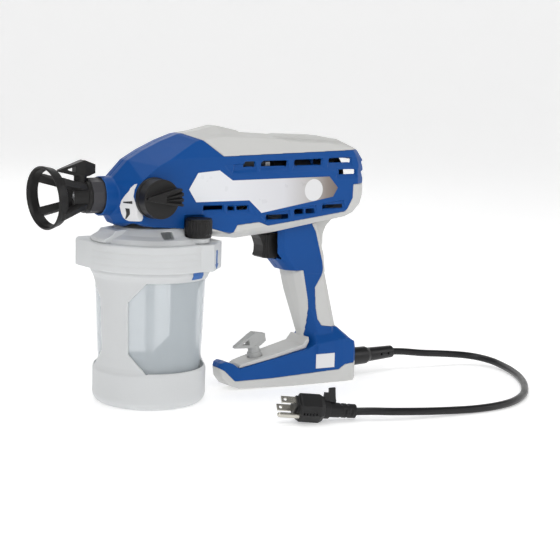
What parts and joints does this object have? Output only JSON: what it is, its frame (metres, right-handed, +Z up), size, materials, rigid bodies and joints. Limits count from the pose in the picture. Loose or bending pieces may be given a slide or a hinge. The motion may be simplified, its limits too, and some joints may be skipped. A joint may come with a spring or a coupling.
{
  "type": "airless paint sprayer",
  "caption": "Hand-held corded airless paint sprayer with a pistol grip, a foot under the grip, a round guard at the nozzle and a cup below that holds the paint.",
  "frame": {"origin": "centre of the flat face under the cup, on the surface the sprayer stands on", "axes": "+Z up, -X towards the nozzle, -Y towards the side with the prime and spray knob"},
  "size_m": [0.5026, 0.246, 0.2524],
  "materials": {
    "blue_shell": "satin moulded plastic",
    "grey_shell": "fine satin moulded plastic",
    "label_silver": "silver film label",
    "label_white": "white film label",
    "mark_blue": "printed mark",
    "black_plastic": "moulded plastic",
    "plunger_red": "moulded plastic",
    "pump_alloy": "machined casting",
    "steel": "machined",
    "brass": "turned",
    "copper_windings": "laminations and windings",
    "tip_seal_orange": "hard seal",
    "frosted_plastic": "frosted translucent plastic",
    "clear_liner": "thin milky plastic",
    "clear_tube": "translucent tube",
    "white_plastic": "moulded plastic",
    "gasket_rubber": "soft ring",
    "grey_tip": "moulded plastic",
    "black_rubber": "soft vinyl",
    "plug_metal": "nickel plated",
    "board_green": "circuit board"
  },
  "bodies": {
    "sprayer body": {"housing_left": "blue_shell", "housing_right": "blue_shell", "top_cover": "grey_shell", "rear_cover": "grey_shell", "grip_front": "grey_shell", "grip_rear": "grey_shell", "foot_base": "grey_shell", "side_label_left": "label_silver", "side_label_right": "label_silver", "knob_label": "label_white", "foot_label": "label_white", "trigger_switch": "black_plastic", "trigger_spring": "steel", "pump_block": "pump_alloy", "inlet_seat": "brass", "suction_tube": "clear_tube", "inlet_strainer": "white_plastic", "outlet_spring": "steel", "piston_spring": "steel", "gear_plate": "pump_alloy", "ball_bearings": "steel", "motor_can": "steel", "power_board": "board_green", "cup_cover": "frosted_plastic", "lid_gasket": "gasket_rubber", "cord_boot": "black_rubber", "power_cord": "black_rubber", "plug_body": "black_rubber", "plug_blades": "plug_metal", "ground_pin": "plug_metal", "plug_strap": "black_rubber", "housing_screws": "steel"},
    "trigger": {"trigger": "black_plastic"},
    "switch plunger": {"switch_plunger": "plunger_red"},
    "prime knob": {"prime_knob": "black_plastic", "prime_stem": "steel"},
    "retaining nut": {"retaining_nut": "black_plastic"},
    "tip guard": {"tip_guard": "black_plastic", "tip_seal": "tip_seal_orange"},
    "spray tip": {"spray_tip": "black_plastic", "tip_insert": "steel"},
    "collar": {"collar": "frosted_plastic", "lug_arrow": "mark_blue"},
    "cup": {"cup_support": "frosted_plastic", "cup_liner": "clear_liner", "rim_tick": "mark_blue"},
    "vent cap": {"vent_valve_cap": "black_plastic"},
    "spare tip": {"spare_tip": "grey_tip"},
    "armature": {"motor_armature": "copper_windings", "motor_fan": "black_plastic"},
    "drive gear": {"drive_gear": "steel", "swash_cam": "steel"},
    "piston": {"piston": "steel"},
    "inlet ball": {"inlet_ball": "steel"},
    "outlet ball": {"outlet_ball": "steel"}
  },
  "joints": [
    {"name": "trigger_pull", "type": "slide", "parent": "sprayer body", "child": "trigger", "axis": [1, 0, 0], "range_m": [0, 0.006], "stiffness_N_per_m": 500, "deforming": ["trigger_spring"]},
    {"name": "plunger_press", "type": "slide", "parent": "sprayer body", "child": "switch plunger", "axis": [1, 0, 0], "range_m": [0, 0.006]},
    {"name": "prime_knob_turn", "type": "hinge", "parent": "sprayer body", "child": "prime knob", "pos_m": [-0.0177, -0.04, 0.191], "axis": [0, -1, 0], "range_deg": [0, 90]},
    {"name": "nut_turn", "type": "hinge", "parent": "sprayer body", "child": "retaining nut", "pos_m": [-0.057, 0, 0.191], "axis": [1, 0, 0], "range_deg": [0, 300]},
    {"name": "guard_turn", "type": "hinge", "parent": "sprayer body", "child": "tip guard", "pos_m": [-0.075, 0, 0.191], "axis": [1, 0, 0], "range_deg": [0, 90]},
    {"name": "tip_turn", "type": "hinge", "parent": "tip guard", "child": "spray tip", "pos_m": [-0.0722, 0, 0.2], "axis": [0, 0, 1], "range_deg": [0, 180]},
    {"name": "collar_turn", "type": "hinge", "parent": "sprayer body", "child": "collar", "pos_m": [0, 0, 0.137], "axis": [0, 0, 1], "range_deg": [0, 45]},
    {"name": "cup_lower", "type": "slide", "parent": "sprayer body", "child": "cup", "axis": [0, 0, -1], "range_m": [0, 0.15]},
    {"name": "vent_cap_turn", "type": "hinge", "parent": "sprayer body", "child": "vent cap", "pos_m": [0.026, -0.04, 0.16], "axis": [0, 0, 1], "range_deg": [0, 90]},
    {"name": "spare_tip_pull", "type": "slide", "parent": "sprayer body", "child": "spare tip", "axis": [-0.1908, 0, 0.9816], "range_m": [0, 0.04]},
    {"name": "armature_spin", "type": "hinge", "parent": "sprayer body", "child": "armature", "pos_m": [0.15, 0, 0.2038], "axis": [1, 0, 0], "continuous": true},
    {"name": "drive_gear_spin", "type": "hinge", "parent": "sprayer body", "child": "drive gear", "pos_m": [0.1, 0, 0.183], "axis": [1, 0, 0], "continuous": true},
    {"name": "piston_stroke", "type": "slide", "parent": "sprayer body", "child": "piston", "axis": [-1, 0, 0], "range_m": [0, 0.004], "stiffness_N_per_m": 2000, "deforming": ["piston_spring"]},
    {"name": "inlet_ball_lift", "type": "slide", "parent": "sprayer body", "child": "inlet ball", "axis": [0, 0, 1], "range_m": [0, 0.0015]},
    {"name": "outlet_ball_lift", "type": "slide", "parent": "sprayer body", "child": "outlet ball", "axis": [-1, 0, 0], "range_m": [0, 0.0012], "stiffness_N_per_m": 150, "deforming": ["outlet_spring"]}
  ],
  "couplings": [
    {"joint": "plunger_press", "follows": "trigger_pull", "ratio": 1},
    {"joint": "drive_gear_spin", "follows": "armature_spin", "ratio": -0.3}
  ]
}
